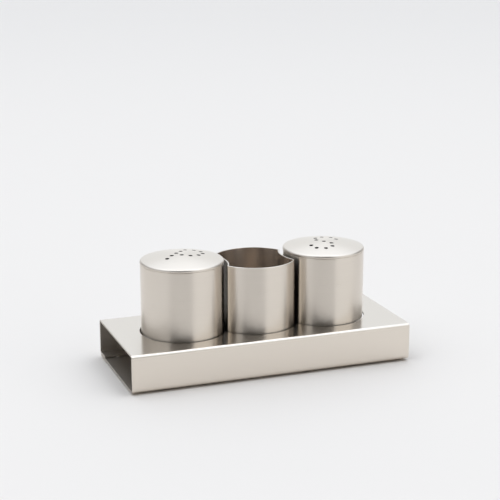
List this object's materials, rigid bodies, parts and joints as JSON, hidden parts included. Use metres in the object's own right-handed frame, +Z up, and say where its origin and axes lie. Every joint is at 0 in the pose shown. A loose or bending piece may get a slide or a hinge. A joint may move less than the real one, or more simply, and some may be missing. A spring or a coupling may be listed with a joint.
{
  "type": "salt and pepper shaker set",
  "caption": "Domed salt and pepper shakers with pierced pull-off caps and an open pick cup, standing in a folded brushed-steel sleeve base.",
  "frame": {"origin": "on the table, under the middle of the sleeve base", "axes": "+X along the row from the pepper shaker to the salt shaker, +Y to the back, +Z up"},
  "size_m": [0.15, 0.0634, 0.0607],
  "materials": {
    "sleeve_steel": "brushed along the sleeve's length",
    "body_steel": "brushed round the body",
    "cap_steel": "satin, brushed in circles",
    "cup_steel": "brushed round the cup",
    "grip_plastic": "soft moulded",
    "pad_rubber": "matte"
  },
  "bodies": {
    "base": {"base_sleeve": "sleeve_steel", "foot_pad_front_left": "pad_rubber", "foot_pad_front_right": "pad_rubber", "foot_pad_rear_left": "pad_rubber", "foot_pad_rear_right": "pad_rubber"},
    "pepper_shaker": {"pepper_body": "body_steel"},
    "pepper_lid": {"pepper_cap": "cap_steel", "pepper_grip_ring": "grip_plastic"},
    "salt_shaker": {"salt_body": "body_steel"},
    "salt_lid": {"salt_cap": "cap_steel", "salt_grip_ring": "grip_plastic"},
    "pick_cup": {"pick_cup_wall": "cup_steel", "pick_cup_floor": "cup_steel"}
  },
  "joints": [
    {"name": "pepper_lift", "type": "slide", "parent": "base", "child": "pepper_shaker", "axis": [0, 0, 1], "range_m": [0, 0.065]},
    {"name": "pepper_lid_pull", "type": "slide", "parent": "pepper_shaker", "child": "pepper_lid", "axis": [0, 0, 1], "range_m": [0, 0.03]},
    {"name": "salt_lift", "type": "slide", "parent": "base", "child": "salt_shaker", "axis": [0, 0, 1], "range_m": [0, 0.065]},
    {"name": "salt_lid_pull", "type": "slide", "parent": "salt_shaker", "child": "salt_lid", "axis": [0, 0, 1], "range_m": [0, 0.03]},
    {"name": "pick_cup_lift", "type": "slide", "parent": "base", "child": "pick_cup", "axis": [0, 0, 1], "range_m": [0, 0.065]}
  ]
}
